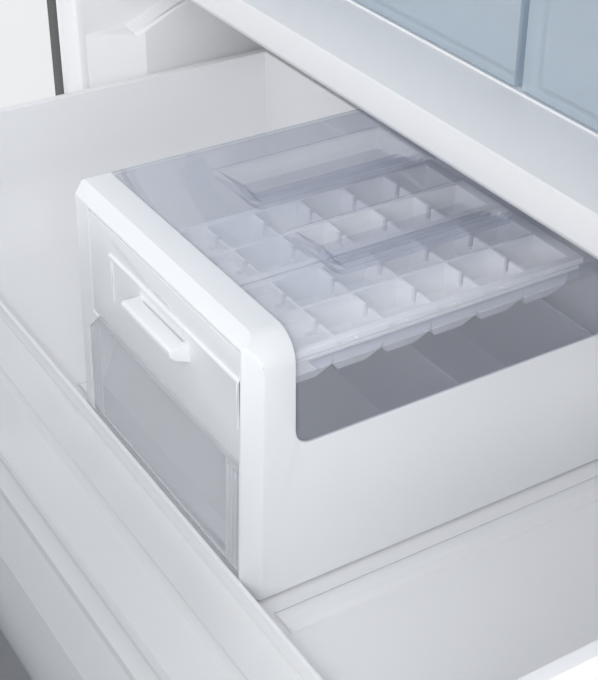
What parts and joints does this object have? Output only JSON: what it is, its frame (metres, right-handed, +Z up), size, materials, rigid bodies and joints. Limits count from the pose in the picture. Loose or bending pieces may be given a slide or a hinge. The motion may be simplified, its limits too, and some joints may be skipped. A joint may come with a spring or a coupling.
{
  "type": "side by side refrigerator",
  "caption": "Refrigerator with side by side upper doors over a pull-out freezer drawer that holds a sliding tray and a clear-topped ice box.",
  "frame": {"origin": "floor point on the centre plane, below the cabinet's front plane", "axes": "X to the right seen from the front, Y towards the back, Z up"},
  "size_m": [1.6002, 1.0845, 1.776],
  "materials": {
    "cabinet_shell": "satin",
    "cabinet_back": "satin",
    "base_frame": "satin",
    "insulation_foam": "matte",
    "freezer_liner": "gloss",
    "fresh_food_liner": "gloss",
    "centre_mullion": "gloss",
    "evaporator_cover": "gloss",
    "evaporator_coil": "satin",
    "fan_motor": "matte",
    "evaporator_fan": "matte",
    "air_duct": "gloss",
    "compressor": "satin",
    "condenser_coil": "satin",
    "machine_cover": "satin",
    "mains_inlet": "matte",
    "kick_grille": "matte",
    "levelling_feet": "satin",
    "rear_roller_left": "matte",
    "rear_roller_right": "matte",
    "top_hinges": "satin",
    "hinge_covers": "matte",
    "centre_hinges": "satin",
    "control_panel": "gloss",
    "shelf_upper_glass": "gloss",
    "shelf_upper_frame": "gloss",
    "shelf_lower_glass": "gloss",
    "shelf_lower_frame": "gloss",
    "crisper_cover": "gloss",
    "crisper_left": "gloss",
    "crisper_right": "gloss",
    "drawer_slides": "satin",
    "left_door_skin": "satin",
    "left_door_foam": "matte",
    "left_door_liner": "gloss",
    "left_door_gasket": "satin",
    "left_door_handle": "satin",
    "left_door_bins": "gloss",
    "flipper_mullion": "gloss",
    "right_door_skin": "satin",
    "right_door_foam": "matte",
    "right_door_liner": "gloss",
    "right_door_gasket": "satin",
    "right_door_handle": "satin",
    "right_door_bins": "gloss",
    "drawer_skin": "satin",
    "drawer_foam": "matte",
    "drawer_liner": "gloss",
    "drawer_gasket": "satin",
    "drawer_handle": "satin",
    "drawer_frames": "satin",
    "lower_basket": "gloss",
    "upper_tray": "gloss",
    "tray_fascia": "gloss",
    "ice_box_housing": "gloss",
    "ice_box_cover": "gloss",
    "carrier_front": "gloss",
    "ice_tray_left": "gloss",
    "ice_tray_right": "gloss",
    "ice_bin": "gloss"
  },
  "bodies": {
    "cabinet": {"cabinet_shell": "cabinet_shell", "cabinet_back": "cabinet_back", "base_frame": "base_frame", "insulation_foam": "insulation_foam", "freezer_liner": "freezer_liner", "fresh_food_liner": "fresh_food_liner", "centre_mullion": "centre_mullion", "evaporator_cover": "evaporator_cover", "evaporator_coil": "evaporator_coil", "fan_motor": "fan_motor", "air_duct": "air_duct", "compressor": "compressor", "condenser_coil": "condenser_coil", "machine_cover": "machine_cover", "mains_inlet": "mains_inlet", "kick_grille": "kick_grille", "levelling_feet": "levelling_feet", "top_hinges": "top_hinges", "hinge_covers": "hinge_covers", "centre_hinges": "centre_hinges", "control_panel": "control_panel", "shelf_upper_glass": "shelf_upper_glass", "shelf_upper_frame": "shelf_upper_frame", "shelf_lower_glass": "shelf_lower_glass", "shelf_lower_frame": "shelf_lower_frame", "crisper_cover": "crisper_cover", "drawer_slides": "drawer_slides"},
    "left_door": {"left_door_skin": "left_door_skin", "left_door_foam": "left_door_foam", "left_door_liner": "left_door_liner", "left_door_gasket": "left_door_gasket", "left_door_handle": "left_door_handle", "left_door_bins": "left_door_bins"},
    "flipper": {"flipper_mullion": "flipper_mullion"},
    "right_door": {"right_door_skin": "right_door_skin", "right_door_foam": "right_door_foam", "right_door_liner": "right_door_liner", "right_door_gasket": "right_door_gasket", "right_door_handle": "right_door_handle", "right_door_bins": "right_door_bins"},
    "freezer_drawer": {"drawer_skin": "drawer_skin", "drawer_foam": "drawer_foam", "drawer_liner": "drawer_liner", "drawer_gasket": "drawer_gasket", "drawer_handle": "drawer_handle", "drawer_frames": "drawer_frames", "lower_basket": "lower_basket"},
    "upper_tray_body": {"upper_tray": "upper_tray", "tray_fascia": "tray_fascia", "ice_box_housing": "ice_box_housing", "ice_box_cover": "ice_box_cover"},
    "ice_tray_carrier": {"carrier_front": "carrier_front", "ice_tray_left": "ice_tray_left", "ice_tray_right": "ice_tray_right"},
    "ice_bin_body": {"ice_bin": "ice_bin"},
    "crisper_left_body": {"crisper_left": "crisper_left"},
    "crisper_right_body": {"crisper_right": "crisper_right"},
    "fan_rotor": {"evaporator_fan": "evaporator_fan"},
    "roller_left": {"rear_roller_left": "rear_roller_left"},
    "roller_right": {"rear_roller_right": "rear_roller_right"}
  },
  "joints": [
    {"name": "left_door_hinge", "type": "hinge", "parent": "cabinet", "child": "left_door", "pos_m": [-0.44, -0.038, 1.2], "axis": [0, 0, -1], "range_deg": [-140, 0]},
    {"name": "flipper_hinge", "type": "hinge", "parent": "left_door", "child": "flipper", "pos_m": [-0.71556, -0.33188, 1.2], "axis": [0, 0, 1], "range_deg": [-90, 0]},
    {"name": "right_door_hinge", "type": "hinge", "parent": "cabinet", "child": "right_door", "pos_m": [0.44, -0.038, 1.2], "axis": [0, 0, 1], "range_deg": [-140, 0]},
    {"name": "freezer_drawer_slide", "type": "slide", "parent": "cabinet", "child": "freezer_drawer", "axis": [0, -1, 0], "range_m": [-0.36, 0.06]},
    {"name": "upper_tray_slide", "type": "slide", "parent": "freezer_drawer", "child": "upper_tray_body", "axis": [0, -1, 0], "range_m": [0, 0.08]},
    {"name": "ice_carrier_slide", "type": "slide", "parent": "upper_tray_body", "child": "ice_tray_carrier", "axis": [0, -1, 0], "range_m": [0, 0.115]},
    {"name": "ice_bin_slide", "type": "slide", "parent": "upper_tray_body", "child": "ice_bin_body", "axis": [0, -1, 0], "range_m": [0, 0.115]},
    {"name": "crisper_left_slide", "type": "slide", "parent": "cabinet", "child": "crisper_left_body", "axis": [0, -1, 0], "range_m": [0, 0.3]},
    {"name": "crisper_right_slide", "type": "slide", "parent": "cabinet", "child": "crisper_right_body", "axis": [0, -1, 0], "range_m": [0, 0.3]},
    {"name": "evaporator_fan_spin", "type": "hinge", "parent": "cabinet", "child": "fan_rotor", "pos_m": [0, 0.529, 0.612], "axis": [0, -1, 0], "continuous": true},
    {"name": "rear_roller_left_spin", "type": "hinge", "parent": "cabinet", "child": "roller_left", "pos_m": [-0.4145, 0.56, 0.026], "axis": [1, 0, 0], "continuous": true},
    {"name": "rear_roller_right_spin", "type": "hinge", "parent": "cabinet", "child": "roller_right", "pos_m": [0.4145, 0.56, 0.026], "axis": [1, 0, 0], "continuous": true}
  ],
  "couplings": [
    {"joint": "flipper_hinge", "follows": "left_door_hinge", "ratio": 0.64286}
  ]
}
